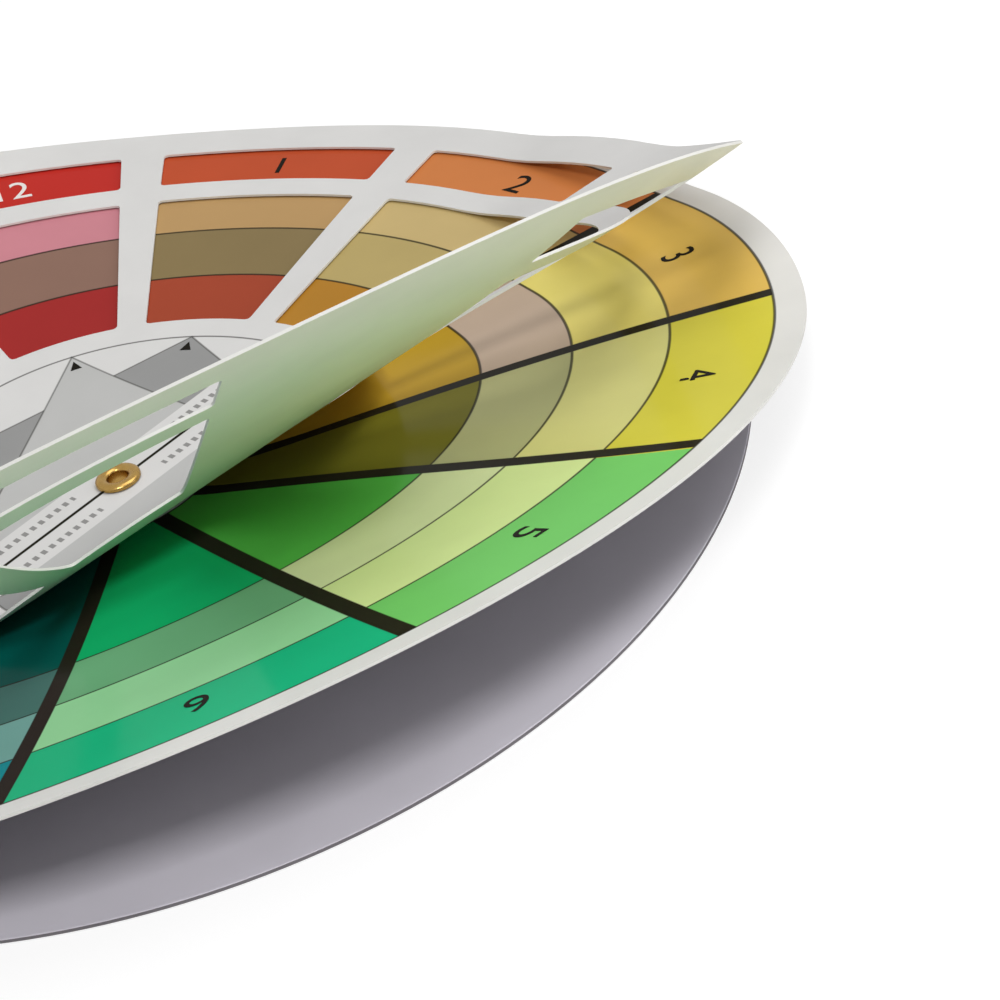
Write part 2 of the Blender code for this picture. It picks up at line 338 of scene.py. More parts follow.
# %% Rings and spokes
def ring_stops(marks, step):
    """Radii from mark to mark, no further apart than the step."""
    stops = [marks[0]]
    for low, high in zip(marks, marks[1:]):
        count = max(1, math.ceil((high - low) / step))
        stops += [low + (high - low) * (i + 1) / count for i in range(count)]
    return stops


def flat_card(name, radii, angles, window=None):
    """Flat open mesh from rings and spokes, counted clockwise, with a UV map that holds
    the flat place of every point, so that the print follows the card when it curls."""
    sheet = bmesh.new()
    rows = []
    for i, radius in enumerate(radii):
        row = []
        for j, angle in enumerate(angles(radius)):
            r, t = (radius, angle) if window is None else window.corner(i, j, radius, angle)
            row.append(sheet.verts.new((r * math.cos(t), r * math.sin(t), 0)))
        rows.append(row)
    count = len(rows[0])
    for i in range(len(radii) - 1):
        for j in range(count):
            if window is None or not window.holds(i, j):
                k = (j + 1) % count
                sheet.faces.new((rows[i][j], rows[i][k], rows[i + 1][k], rows[i + 1][j]))
    loose = [v for v in sheet.verts if not v.link_faces]
    bmesh.ops.delete(sheet, geom=loose, context="VERTS")
    places = sheet.loops.layers.uv.new("flat_card")
    for face in sheet.faces:
        for loop in face.loops:
            spot = loop.vert.co / (2 * CHART_RADIUS)
            loop[places].uv = (spot.x + 0.5, spot.y + 0.5)
    return mesh_of(sheet, name)


# %% Windows as faces left out
class Windows:
    """Knows which cells of the mask's mesh are windows, and rounds their corners.
    A sector's columns are the middle of its bar, a window's side, the end of the rounded
    corner, the even columns between, the other corner's end and the other side."""

    inner_columns = 10
    per_sector = inner_columns + 5

    def __init__(self, radii):
        self.bands = []
        for low, high in (INNER_WINDOW, OUTER_WINDOW):
            first = min(range(len(radii)), key=lambda i: abs(radii[i] - low))
            last = min(range(len(radii)), key=lambda i: abs(radii[i] - high))
            self.bands.append((first, last))

    def half_bar(self, radius):
        """Half a bar and a rounded corner, as angles at a radius."""
        low, high = INNER_WINDOW[0], OUTER_WINDOW[1]
        r = min(max(radius, low), high)
        share = (r - low) / (high - low)
        width = BAR_WIDTHS[0] + share * (BAR_WIDTHS[1] - BAR_WIDTHS[0])
        return math.asin(width / 2 / r), CORNER / r

    def angles(self, radius):
        """Angles of all spokes at a radius, clockwise."""
        half, corner = self.half_bar(radius)
        found = []
        for sector in range(SECTORS):
            start = -FIRST_BAR + sector * PITCH
            low, high = start + half + corner, start + PITCH - half - corner
            found += [start, start + half]
            found += [low + (high - low) * i / (self.inner_columns + 1)
                      for i in range(self.inner_columns + 2)]
            found.append(start + PITCH - half)
        return [-t for t in found]

    def place(self, j):
        """Sector and column of a spoke."""
        return j // self.per_sector, j % self.per_sector

    def holds(self, i, j):
        """Whether the cell between two rings and two spokes is part of a window."""
        sector, column = self.place(j)
        open_here = 1 <= column < self.per_sector - 1 and sector != BLANK_SECTOR
        return open_here and any(first <= i < last for first, last in self.bands)

    def corner(self, i, j, radius, angle):
        """Place of a point, drawn in a little where it rounds a window's corner."""
        sector, column = self.place(j)
        side = {1: -1, self.per_sector - 1: 1}.get(column)
        if side is None or sector == BLANK_SECTOR:
            return radius, angle
        for first, last in self.bands:
            if i in (first, last):
                into = CORNER * (1 - math.sqrt(0.5))
                grown = radius + (into if i == first else -into)
                return grown, angle + side * into / radius
        return radius, angle


# %% Radii of both cards
RING_STEP = 0.002
CHART_SPOKES = 240
chart_radii = ring_stops([HOLE_RADIUS, 0.06, 0.09, CHART_RADIUS], RING_STEP)
mask_radii = ring_stops(
    [HOLE_RADIUS, INNER_WINDOW[0], INNER_WINDOW[0] + CORNER, INNER_WINDOW[1] - CORNER,
     INNER_WINDOW[1], OUTER_WINDOW[0], OUTER_WINDOW[0] + CORNER,
     OUTER_WINDOW[1] - CORNER, OUTER_WINDOW[1], MASK_RADIUS], RING_STEP)
windows = Windows(mask_radii)


def even_spokes(radius):
    """Angles of the chart's spokes, which are the same at every radius."""
    return [-2 * math.pi * j / CHART_SPOKES for j in range(CHART_SPOKES)]


chart_flat = flat_card("chart_flat", chart_radii, even_spokes)
mask_flat = flat_card("mask_flat", mask_radii, windows.angles, windows)
for flat in (chart_flat, mask_flat):
    up = sum(p.normal.z for p in flat.polygons) / len(flat.polygons)
    print(flat.name, len(flat.polygons), "faces, mean normal", round(up, 3))


# %% [markdown]
# ## Colors
# A color picked on a screen is sRGB, while Blender's nodes work with linear light. One
# function converts, so that the swatches below can be written as a painter would see them.


# %% Colors from screen values
def srgb(red, green, blue):
    """Linear color with alpha for three screen values from 0 to 255."""
    found = []
    for value in (red, green, blue):
        share = value / 255
        low = share / 12.92
        high = ((share + 0.055) / 1.055) ** 2.4
        found.append(low if share <= 0.04045 else high)
    return (*found, 1.0)


INK = srgb(36, 33, 24)
PAPER = srgb(218, 217, 215)
print("paper in linear light", [round(value, 3) for value in PAPER])

# %% [markdown]
# The chart has four rings of twelve colors, clockwise from red-orange round to red. Paint
# doesn't mix as light does, so the tints, tones and shades are swatches of their own and
# aren't worked out from the hue.

# %% Swatches of the chart
# Some swatches carry painted light and painted shade. The yellow-orange hue, tint and tone,
# the yellow tone, the yellow-green tint, tone and shade, and the green tint and shade are
# lighter than their print: painted light that offsets the shade of the mask on them. The
# blue-green tint, tone and shade are darker than their print: painted shade for the mask's
# shadow on that side.
HUES = [
    srgb(190, 80, 46), srgb(206, 126, 70), srgb(224, 186, 92), srgb(214, 204, 70),
    srgb(118, 204, 106), srgb(26, 184, 130), srgb(0, 138, 146), srgb(28, 96, 168),
    srgb(62, 66, 142), srgb(92, 56, 132), srgb(152, 46, 96), srgb(190, 46, 38),
]
TINTS = [
    srgb(186, 150, 100), srgb(200, 176, 120), srgb(230, 216, 120), srgb(214, 210, 134),
    srgb(218, 235, 160), srgb(153, 218, 160), srgb(116, 168, 160), srgb(122, 158, 192),
    srgb(130, 132, 178), srgb(152, 128, 172), srgb(190, 132, 162), srgb(202, 132, 142),
]
TONES = [
    srgb(136, 118, 80), srgb(184, 164, 106), srgb(192, 171, 151), srgb(178, 178, 126),
    srgb(220, 230, 174), srgb(111, 176, 127), srgb(68, 114, 106), srgb(92, 118, 142),
    srgb(96, 98, 126), srgb(106, 92, 122), srgb(132, 96, 112), srgb(140, 108, 94),
]
SHADES = [
    srgb(162, 70, 46), srgb(178, 126, 44), srgb(186, 150, 46), srgb(112, 108, 32),
    srgb(90, 190, 78), srgb(18, 178, 106), srgb(0, 84, 76), srgb(16, 62, 106),
    srgb(36, 40, 92), srgb(58, 34, 86), srgb(106, 30, 62), srgb(160, 44, 42),
]
print("swatches", len(HUES) + len(TINTS) + len(TONES) + len(SHADES))

# %% [markdown]
# ## Shared shader groups
# The print is drawn in the card's flat coordinates, which the UV map carries. Three small
# groups do the measuring: where a point lies on the disc, how much of a printed line
# covers it, and how far outside a polygon it is. A fourth gives the grain of paper and
# metal. They put out plain values, so each material can mix its own colors from them.


# %% New shader group
def shader_group(name, inputs, outputs):
    """Group with its default values, the outputs of its Group Input and the inputs of
    its Group Output."""
    group = bpy.data.node_groups.new(name, "ShaderNodeTree")
    for title, value in inputs.items():
        socket = group.interface.new_socket(
            title, in_out="INPUT", socket_type="NodeSocketFloat")
        socket.default_value = value
    for title in outputs:
        group.interface.new_socket(title, in_out="OUTPUT", socket_type="NodeSocketFloat")
    given = add(group, "NodeGroupInput").outputs
    result = add(group, "NodeGroupOutput")
    return group, given, result.inputs


def use(tree, group, inputs=None):
    """Places a shader group in a tree and returns its outputs."""
    return add(tree, "ShaderNodeGroup", inputs, node_tree=group).outputs


# %% Place on the disc
disc_place, given, result = shader_group(
    "Place on the disc", {"First Line": FIRST_LINE, "Sectors": SECTORS},
    ["Radius", "Angle", "Turn", "To Line"])
flat = add(disc_place, "ShaderNodeUVMap", uv_map="flat_card").outputs[0]
centred = add(disc_place, "ShaderNodeVectorMath", {0: flat, 1: (0.5, 0.5, 0)},
              operation="SUBTRACT").outputs[0]
metres = add(disc_place, "ShaderNodeVectorMath",
             {0: centred, "Scale": 2 * CHART_RADIUS}, operation="SCALE").outputs[0]
parts = add(disc_place, "ShaderNodeSeparateXYZ", {0: metres}).outputs
radius = add(disc_place, "ShaderNodeVectorMath", {0: metres}, operation="LENGTH").outputs[1]
angle = calc(disc_place, "ARCTAN2", parts[1], parts[0])
behind = calc(disc_place, "SUBTRACT", given["First Line"], angle)
turn = calc(disc_place, "FRACT", calc(disc_place, "DIVIDE", behind, 2 * math.pi))
within = calc(disc_place, "FRACT", calc(disc_place, "MULTIPLY", turn, given["Sectors"]))
nearest = calc(disc_place, "PINGPONG", within, 0.5)
pitch = calc(disc_place, "DIVIDE", 2 * math.pi, given["Sectors"])
aside = calc(disc_place, "SINE", calc(disc_place, "MULTIPLY", nearest, pitch))
for title, value in (("Radius", radius), ("Angle", angle), ("Turn", turn),
                     ("To Line", calc(disc_place, "MULTIPLY", radius, aside))):
    disc_place.links.new(value, result[title])

# %% Printed line
printed_line, given, result = shader_group(
    "Printed line", {"Distance": 0, "Width": 0.0005, "Blur": 0.00012}, ["Cover"])
off = calc(printed_line, "ABSOLUTE", given["Distance"])
half = calc(printed_line, "MULTIPLY", given["Width"], 0.5)
cover = add(printed_line, "ShaderNodeMapRange", {
    "Value": off,
    "From Min": calc(printed_line, "SUBTRACT", half, given["Blur"]),
    "From Max": calc(printed_line, "ADD", half, given["Blur"]),
    "To Min": 1.0, "To Max": 0.0}, interpolation_type="SMOOTHSTEP").outputs[0]
printed_line.links.new(cover, result["Cover"])

# %% Regular polygon
polygon, given, result = shader_group(
    "Regular polygon", {"Radius": 0, "Angle": 0, "Sides": 3, "Turned": 0, "Apothem": 0.02},
    ["Outside"])
side = calc(polygon, "DIVIDE", 2 * math.pi, given["Sides"])
from_side = calc(polygon, "SUBTRACT", given["Angle"], given["Turned"])
wrapped = calc(polygon, "FLOORED_MODULO",
               calc(polygon, "ADD", from_side, calc(polygon, "DIVIDE", side, 2.0)), side)
folded = calc(polygon, "SUBTRACT", wrapped, calc(polygon, "DIVIDE", side, 2.0))
reach = calc(polygon, "MULTIPLY", given["Radius"], calc(polygon, "COSINE", folded))
polygon.links.new(calc(polygon, "SUBTRACT", reach, given["Apothem"]), result["Outside"])

# %% Card fibres
card_fibres, given, result = shader_group(
    "Card fibres", {"Fineness": 1500, "Mottle Size": 60}, ["Height", "Mottle"])
object_place = add(card_fibres, "ShaderNodeTexCoord").outputs["Object"]
fine = add(card_fibres, "ShaderNodeTexNoise",
           {"Vector": object_place, "Scale": given["Fineness"], "Detail": 4.0}).outputs[0]
broad = add(card_fibres, "ShaderNodeTexNoise",
            {"Vector": object_place, "Scale": given["Mottle Size"], "Detail": 3.0})
card_fibres.links.new(fine, result["Height"])
card_fibres.links.new(broad.outputs[0], result["Mottle"])
print("shader groups", [g.name for g in bpy.data.node_groups if g.type == "SHADER"])

# %% [markdown]
# ## Card finishes
# Every face of a card is paper under a thin varnish: a Principled shader whose color is
# the print, whose roughness wanders a little and whose bump is the fibre of the card.


# %% Paper shader
COAT_ROUGHNESS = 0.16
ROUGHNESS_WANDER = 0.06
FIBRE_HEIGHT = 0.0001
MOTTLE_LOW, MOTTLE_HIGH = 0.3, 0.7


def paper(name, color=PAPER, roughness=0.4, varnish=0.0, fibre=0.04, mottle=0.03):
    """Returns the material, its tree and the color input of its mottle. The color can be
    replaced later.
    """
    material = bpy.data.materials.new(name)
    material.use_nodes = True
    tree = material.node_tree
    shader = tree.nodes["Principled BSDF"]
    shader.inputs["Specular IOR Level"].default_value = 0.0
    shader.inputs["Coat Weight"].default_value = varnish
    shader.inputs["Coat Roughness"].default_value = COAT_ROUGHNESS
    fibres = use(tree, card_fibres)
    wander = add(tree, "ShaderNodeMapRange", {
        "Value": fibres["Mottle"], "To Min": roughness - ROUGHNESS_WANDER,
        "To Max": roughness + ROUGHNESS_WANDER}).outputs[0]
    tree.links.new(wander, shader.inputs["Roughness"])
    bump = add(tree, "ShaderNodeBump", {
        "Height": fibres["Height"], "Strength": fibre, "Distance": FIBRE_HEIGHT})
    tree.links.new(bump.outputs[0], shader.inputs["Normal"])
    tone = add(tree, "ShaderNodeMapRange", {
        "Value": fibres["Mottle"], "From Min": MOTTLE_LOW, "From Max": MOTTLE_HIGH,
        "To Min": 1 - mottle, "To Max": 1 + mottle}).outputs[0]
    grey = add(tree, "ShaderNodeCombineColor", {0: tone, 1: tone, 2: tone}).outputs[0]
    shade = add(tree, "ShaderNodeMix", {0: 1.0, 6: color, 7: grey},
                data_type="RGBA", blend_type="MULTIPLY", label="mottle")
    tree.links.new(shade.outputs[2], shader.inputs["Base Color"])
    return material, tree, shade.inputs[6]


def mix(tree, factor, low, high):
    """Mixes two colors, each a value or a socket."""
    inputs = {0: factor, 6: low, 7: high}
    return add(tree, "ShaderNodeMix", inputs, data_type="RGBA").outputs[2]


# %% [markdown]
# ## The printed chart
# The hues stand in the outer ring, then come the tints, the tones and the shades. Each
# ring is a color ramp with hard stops that is read by the turn round the disc. Thin lines
# part the rings and broad ones part the sectors.


# %% A ring of swatches
def swatch_ring(tree, turn, swatches):
    """Color ramp with one hard stop for each sector."""
    ramp = add(tree, "ShaderNodeValToRGB", {0: turn})
    ramp.color_ramp.interpolation = "CONSTANT"
    while len(ramp.color_ramp.elements) < SECTORS:
        ramp.color_ramp.elements.new(0.5)
    for i, stop in enumerate(ramp.color_ramp.elements):
        stop.position = i / SECTORS
        stop.color = swatches[i]
    return ramp.outputs[0]


# %% Chart print
PRINT_EDGE = 0.016
SHADE_EDGE = 0.0631
TONE_EDGE = 0.0788
TINT_EDGE = 0.0952
HUE_EDGE = 0.1124
LINE_WIDTH = 0.0005
RING_LINE_INK = 0.88
SEPARATOR_WIDTH = 0.0029
# The chart's paper is a little whiter than the mask's PAPER: painted light for the brighter
# front of the chart's border.
LIT_CHART_PAPER = srgb(224, 223, 221)
chart_print, tree, color_in = paper("chart_print", roughness=0.3, varnish=0.16)
place = use(tree, disc_place)
rings = [
    (PRINT_EDGE, swatch_ring(tree, place["Turn"], SHADES)),
    (SHADE_EDGE, swatch_ring(tree, place["Turn"], TONES)),
    (TONE_EDGE, swatch_ring(tree, place["Turn"], TINTS)),
    (TINT_EDGE, swatch_ring(tree, place["Turn"], HUES)),
    (HUE_EDGE, LIT_CHART_PAPER),
]
color = LIT_CHART_PAPER
lines = 0.0
for edge, ring_color in rings:
    off = calc(tree, "SUBTRACT", place["Radius"], edge)
    color = mix(tree, calc(tree, "GREATER_THAN", off, 0.0), color, ring_color)
    line = use(tree, printed_line, {"Distance": off, "Width": LINE_WIDTH})["Cover"]
    line = calc(tree, "MULTIPLY", line, RING_LINE_INK)
    lines = calc(tree, "MAXIMUM", lines, line)

# %% Separators between the sectors
bar = use(tree, printed_line,
          {"Distance": place["To Line"], "Width": SEPARATOR_WIDTH})["Cover"]
inside = calc(tree, "LESS_THAN", place["Radius"], HUE_EDGE)
outside = calc(tree, "GREATER_THAN", place["Radius"], PRINT_EDGE)
bar = calc(tree, "MULTIPLY", bar, calc(tree, "MULTIPLY", inside, outside))
lines = calc(tree, "MAXIMUM", lines, bar)
tree.links.new(mix(tree, lines, color, INK), color_in)
print("chart print", len(tree.nodes), "nodes")

# %% [markdown]
# ## The mask's print
# The mask is white card. In its middle stand the plain figures that such wheels use: a
# square and a triangle whose corners point to colors that go together, and a white band
# whose line joins two opposite colors, with a scale of dashes at either side of it. A
# thin circle holds them.

# %% Mask print
CIRCLE_RADIUS = 0.0423
SQUARE_CORNER = math.radians(60.5)
TRIANGLE_CORNER = math.radians(90.5)
BAND_ANGLE = math.radians(30.5)
BAND_WIDTH = 0.0125
DASH_ROW = 0.0036
DASH_HEIGHT = 0.0013
DASH_PITCH = 0.0018
DASH_MIDDLE = 0.0215
DASH_REACH = 0.0145
FIGURE_LINE = 0.00035
BAND_LINE = 0.0007
CIRCLE_LINE = 0.0004
PALE_INK = 0.6
CIRCLE_INK = 0.75
mask_print, tree, color_in = paper("mask_print", roughness=0.36, varnish=0.1)
place = use(tree, disc_place)
shape = {"Radius": place["Radius"], "Angle": place["Angle"]}
color = PAPER
figures = [(4, SQUARE_CORNER, srgb(152, 152, 151)),
           (3, TRIANGLE_CORNER, srgb(190, 190, 188))]
for sides, corner, grey in figures:
    half_side = math.pi / sides
    outside = use(tree, polygon, {
        **shape, "Sides": sides, "Turned": corner - half_side,
        "Apothem": CIRCLE_RADIUS * math.cos(half_side)})["Outside"]
    color = mix(tree, calc(tree, "LESS_THAN", outside, 0.0), color, grey)
    edge = use(tree, printed_line, {"Distance": outside, "Width": FIGURE_LINE})["Cover"]
    color = mix(tree, calc(tree, "MULTIPLY", edge, PALE_INK), color, INK)

# %% Band, line and circle on the mask
aside = calc(tree, "MULTIPLY", place["Radius"], calc(
    tree, "SINE", calc(tree, "SUBTRACT", place["Angle"], BAND_ANGLE)))
within = calc(tree, "LESS_THAN", place["Radius"], CIRCLE_RADIUS)
band = use(tree, printed_line, {"Distance": aside, "Width": BAND_WIDTH})["Cover"]
color = mix(tree, calc(tree, "MULTIPLY", band, within), color, PAPER)
line = use(tree, printed_line, {"Distance": aside, "Width": BAND_LINE})["Cover"]
color = mix(tree, calc(tree, "MULTIPLY", line, within), color, INK)
along = calc(tree, "MULTIPLY", place["Radius"], calc(
    tree, "COSINE", calc(tree, "SUBTRACT", place["Angle"], BAND_ANGLE)))
beat = calc(tree, "PINGPONG", along, DASH_PITCH / 2)
dash = calc(tree, "LESS_THAN", beat, DASH_PITCH / 4)
from_row = calc(tree, "SUBTRACT", calc(tree, "ABSOLUTE", aside), DASH_ROW)
row = use(tree, printed_line, {"Distance": from_row, "Width": DASH_HEIGHT})["Cover"]
ends = calc(tree, "COMPARE", calc(tree, "ABSOLUTE", along), DASH_MIDDLE, DASH_REACH)
dash = calc(tree, "MULTIPLY", dash, calc(tree, "MULTIPLY", row, ends))
color = mix(tree, calc(tree, "MULTIPLY", dash, PALE_INK), color, INK)
off = calc(tree, "SUBTRACT", place["Radius"], CIRCLE_RADIUS)
circle = use(tree, printed_line, {"Distance": off, "Width": CIRCLE_LINE})["Cover"]
color = mix(tree, calc(tree, "MULTIPLY", circle, CIRCLE_INK), color, INK)
tree.links.new(color, color_in)
print("mask print", len(tree.nodes), "nodes")

# %% Plain faces of the cards
mask_back = paper("mask_underside", srgb(232, 231, 215), roughness=0.38, varnish=0.12)[0]
# The chart's underside is grey, darker than the mask's: a painted shade that throws less
# light on the back disc, so that the band under the chart's rim comes out dark.
chart_back_painted_shade = paper("chart_underside_painted_shade", srgb(146, 145, 147), roughness=0.42, varnish=0.1)[0]
cut_edge = paper("cut_edge", srgb(228, 227, 222), roughness=0.75, fibre=0.5, mottle=0.05)[0]
dark_edge = paper("dark_edge", srgb(136, 132, 136), roughness=0.7, fibre=0.5, mottle=0.08)[0]
for look in (mask_back, chart_back_painted_shade, cut_edge, dark_edge):
    print(look.name, len(look.node_tree.nodes), "nodes")

# %% [markdown]
# ## Chart and mask
# Both cards are now curled from their flat meshes. The first material goes to the
# printed face, the second to the underside and the third to the cut edge.

# %% Curl both cards
chart_card = curled("chart_card", chart_flat, "chart",
                    [chart_print, chart_back_painted_shade, cut_edge])
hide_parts("chart_disc")
mask_card = curled("mask_card", mask_flat, "mask", [mask_print, mask_back, cut_edge],
                   lift=MASK_LIFT, bend=1.0)
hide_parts("mask_disc")

# %% [markdown]
# ## Numbers on the chart
# Each hue has a plain number. A number is ink on the card, so it is set as flat type,
# turned to stand on its radius and then curled with the same tree as the chart, a
# hair above it.


# %% Flat numbers
def flat_number(text, height, radius, turn):
    """Mesh of one number, centred on its radius and upright towards the rim."""
    type_line = bpy.data.curves.new("number", "FONT")
    type_line.body = text
    type_line.size = height
    type_line.align_x = "CENTER"
    type_line.align_y = "CENTER"
    mesh = plain_mesh(new_object("number", type_line))
    outward = Matrix.Rotation(turn - math.pi / 2, 4, "Z")
    mesh.transform(outward @ Matrix.Translation((0, radius, 0)))
    return mesh


# %% Cells that can bend
CELL = 0.0015
SAME_POINT = 0.000001
ON_PLANE = 0.0000001


def joined(name, meshes):
    """One mesh of all, cut into small cells so that it can follow the curl."""
    whole = bmesh.new()
    for mesh in meshes:
        whole.from_mesh(mesh)
        bpy.data.meshes.remove(mesh)
    bmesh.ops.remove_doubles(whole, verts=whole.verts, dist=SAME_POINT)
    for side in range(2):
        places = [v.co[side] for v in whole.verts]
        for i in range(math.floor(min(places) / CELL) + 1, math.ceil(max(places) / CELL)):
            spot, normal = Vector((0, 0, 0)), Vector((0, 0, 0))
            spot[side] = i * CELL
            normal[side] = 1
            everything = whole.verts[:] + whole.edges[:] + whole.faces[:]
            bmesh.ops.bisect_plane(whole, geom=everything, dist=ON_PLANE,
                                   plane_co=spot, plane_no=normal)
    return mesh_of(whole, name)


# %% Number ring
NUMBER_RADIUS = (OUTER_WINDOW[0] + OUTER_WINDOW[1]) / 2
NUMBER_HEIGHT = 0.0085
PRINT_GAP = 0.00005
PRINT_LIFT = CARD / 2 + PRINT_GAP
PRINT_THICKNESS = 0.00004
WHITE_FROM = 8
dark_numbers, white_numbers = [], []
for sector in range(SECTORS):
    turn = FIRST_LINE - (sector + 0.5) * PITCH
    group = white_numbers if sector + 1 >= WHITE_FROM else dark_numbers
    group.append(flat_number(str(sector + 1), NUMBER_HEIGHT, NUMBER_RADIUS, turn))
ink = paper("printing_ink", srgb(30, 27, 21), roughness=0.3, varnish=0.1, mottle=0.1)[0]
bare = paper("bare_paper", srgb(232, 226, 222), roughness=0.3, varnish=0.1)[0]
for name, group, look in (("numbers_dark", dark_numbers, ink),
                          ("numbers_white", white_numbers, bare)):
    ring = curled(name, joined(name, group), "chart", [look],
                  lift=PRINT_LIFT, thickness=PRINT_THICKNESS)

# %% [markdown]
# ## Arrowheads on the mask
# A small arrowhead marks each corner of the square and the triangle. All are the same and
# stand evenly on a circle, which is work for Geometry Nodes: one flat triangle, one
# instance at each point of a ring, and a first angle that turns the whole ring.

# %% Arrowhead tree
arrow_tree, given = new_tree("Arrowheads on a circle", {
    "Count": "Int", "Radius": "Float", "First": "Float", "Length": "Float",
    "Width Share": "Float", "Print": "Material"})
ring = add(arrow_tree, "GeometryNodeMeshCircle",
           {"Vertices": given["Count"], "Radius": given["Radius"]}).outputs[0]
head = add(arrow_tree, "GeometryNodeMeshCircle",
           {"Vertices": 3, "Radius": given["Length"]}, fill_type="NGON").outputs[0]
shape = add(arrow_tree, "ShaderNodeCombineXYZ",
            {0: 1.0, 1: given["Width Share"], 2: 1.0}).outputs[0]
slim = add(arrow_tree, "GeometryNodeTransform",
           {"Geometry": head, "Scale": shape}).outputs[0]
index = add(arrow_tree, "GeometryNodeInputIndex").outputs[0]
pitch = calc(arrow_tree, "DIVIDE", 2 * math.pi, given["Count"])
facing = add(arrow_tree, "ShaderNodeCombineXYZ",
             {2: calc(arrow_tree, "MULTIPLY", index, pitch)}).outputs[0]
heads = add(arrow_tree, "GeometryNodeInstanceOnPoints",
            {"Points": ring, "Instance": slim, "Rotation": facing}).outputs[0]
first_turn = add(arrow_tree, "ShaderNodeCombineXYZ", {2: given["First"]}).outputs[0]
placed = add(arrow_tree, "GeometryNodeTransform",
             {"Geometry": heads, "Rotation": first_turn}).outputs[0]
close_tree(arrow_tree, placed, given["Print"])

# %% Arrowheads at the corners
ARROW_INSET = 0.0033
ARROW_LENGTH = 0.0017
ARROW_SLIMNESS = 0.7


def arrowheads(count, first):
    """Flat mesh of the arrowheads of one figure, from the tree."""
    holder = new_object("arrows", bpy.data.meshes.new("arrows"))
    grow(holder, arrow_tree, {
        "Count": count, "Radius": CIRCLE_RADIUS - ARROW_INSET, "First": first,
        "Length": ARROW_LENGTH, "Width Share": ARROW_SLIMNESS, "Print": ink})
    mesh = plain_mesh(holder)
    mesh.materials.clear()
    return mesh


arrows = joined("arrows", [arrowheads(4, SQUARE_CORNER), arrowheads(3, TRIANGLE_CORNER)])
print("arrowheads", len(arrows.polygons), "mean normal",
      sum(p.normal.z for p in arrows.polygons) / len(arrows.polygons))
arrow_ring = curled("mask_arrowheads", arrows, "mask", [ink], lift=MASK_LIFT + PRINT_LIFT,
                    thickness=PRINT_THICKNESS, bend=1.0)

# %% [markdown]
# ## Back disc and eyelet
# Both are turned shapes. A profile is drawn from the axis outwards and spun; the back
# disc has the eyelet's seat pressed in its underside, and the eyelet's front is a rolled
# bead that catches the light.


# %% Turned pieces
SHARP_CORNER = math.radians(40)


def turned(name, profile, steps, materials, body, node):
    """Spins a closed profile of radius and height, given clockwise seen from -Y."""
    ring = bmesh.new()
    rows = []
    for i in range(steps):
        t = 2 * math.pi * i / steps
        rows.append([ring.verts.new((AXIS_X + r * math.cos(t), AXIS_Y + r * math.sin(t), z))
                     for r, z in profile])
    count = len(profile)
    for i in range(steps):
        here, there = rows[i], rows[(i + 1) % steps]
        for j in range(count):
            k = (j + 1) % count
            ring.faces.new((here[j], here[k], there[k], there[j]))
    bmesh.ops.recalc_face_normals(ring, faces=ring.faces[:])
    mesh = mesh_of(ring, name)
    for material in materials:
        mesh.materials.append(material)
    mesh.shade_smooth()
    mesh.set_sharp_from_angle(angle=SHARP_CORNER)
    piece = new_object(name, mesh)
    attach(piece, body)
    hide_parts(node)
    print(name, len(mesh.polygons), "faces")
    return piece


# %% Back disc
SEAT_RADIUS = 0.0036
SEAT_DEPTH = 0.00055
SEAT_SLOPE = 0.0004
EDGE_ROUND = 0.00012
EDGE_STEEPNESS = 0.3
INNER_RING, OUTER_RING = 0.03, 0.07
BACK_STEPS = 240
back_face = paper("back_face", srgb(222, 218, 227), roughness=0.42, varnish=0.12)[0]
back_profile = [
    (HOLE_RADIUS, BACK_THICKNESS),
    (INNER_RING, BACK_THICKNESS), (OUTER_RING, BACK_THICKNESS),
    (BACK_RADIUS - EDGE_ROUND, BACK_THICKNESS),
    (BACK_RADIUS, BACK_THICKNESS - EDGE_ROUND),
    (BACK_RADIUS, EDGE_ROUND),
    (BACK_RADIUS - EDGE_ROUND, 0),
    (OUTER_RING, 0), (INNER_RING, 0), (SEAT_RADIUS + SEAT_SLOPE, 0),
    (SEAT_RADIUS, SEAT_DEPTH), (HOLE_RADIUS, SEAT_DEPTH),
]
back_card = turned("back_card", back_profile, BACK_STEPS, [back_face, dark_edge], "back",
                   "back_disc")
for face in back_card.data.polygons:
    low_down = face.center.z < BACK_THICKNESS - EDGE_ROUND
    face.material_index = int(low_down and abs(face.normal.z) < EDGE_STEEPNESS)

# %% Polished brass
brass = bpy.data.materials.new("polished_brass")
brass.use_nodes = True
tree = brass.node_tree
shader = tree.nodes["Principled BSDF"]
shader.inputs["Metallic"].default_value = 1.0
fibres = use(tree, card_fibres, {"Fineness": 4000, "Mottle Size": 900})
tarnish = mix(tree, fibres["Mottle"], srgb(196, 162, 96), srgb(164, 128, 66))
tree.links.new(tarnish, shader.inputs["Base Color"])
wear = add(tree, "ShaderNodeMapRange", {
    "Value": fibres["Mottle"], "To Min": 0.16, "To Max": 0.34}).outputs[0]
tree.links.new(wear, shader.inputs["Roughness"])
scratch = add(tree, "ShaderNodeBump", {
    "Height": fibres["Height"], "Strength": 0.08, "Distance": 0.00005})
tree.links.new(scratch.outputs[0], shader.inputs["Normal"])
print(brass.name, len(tree.nodes), "nodes")

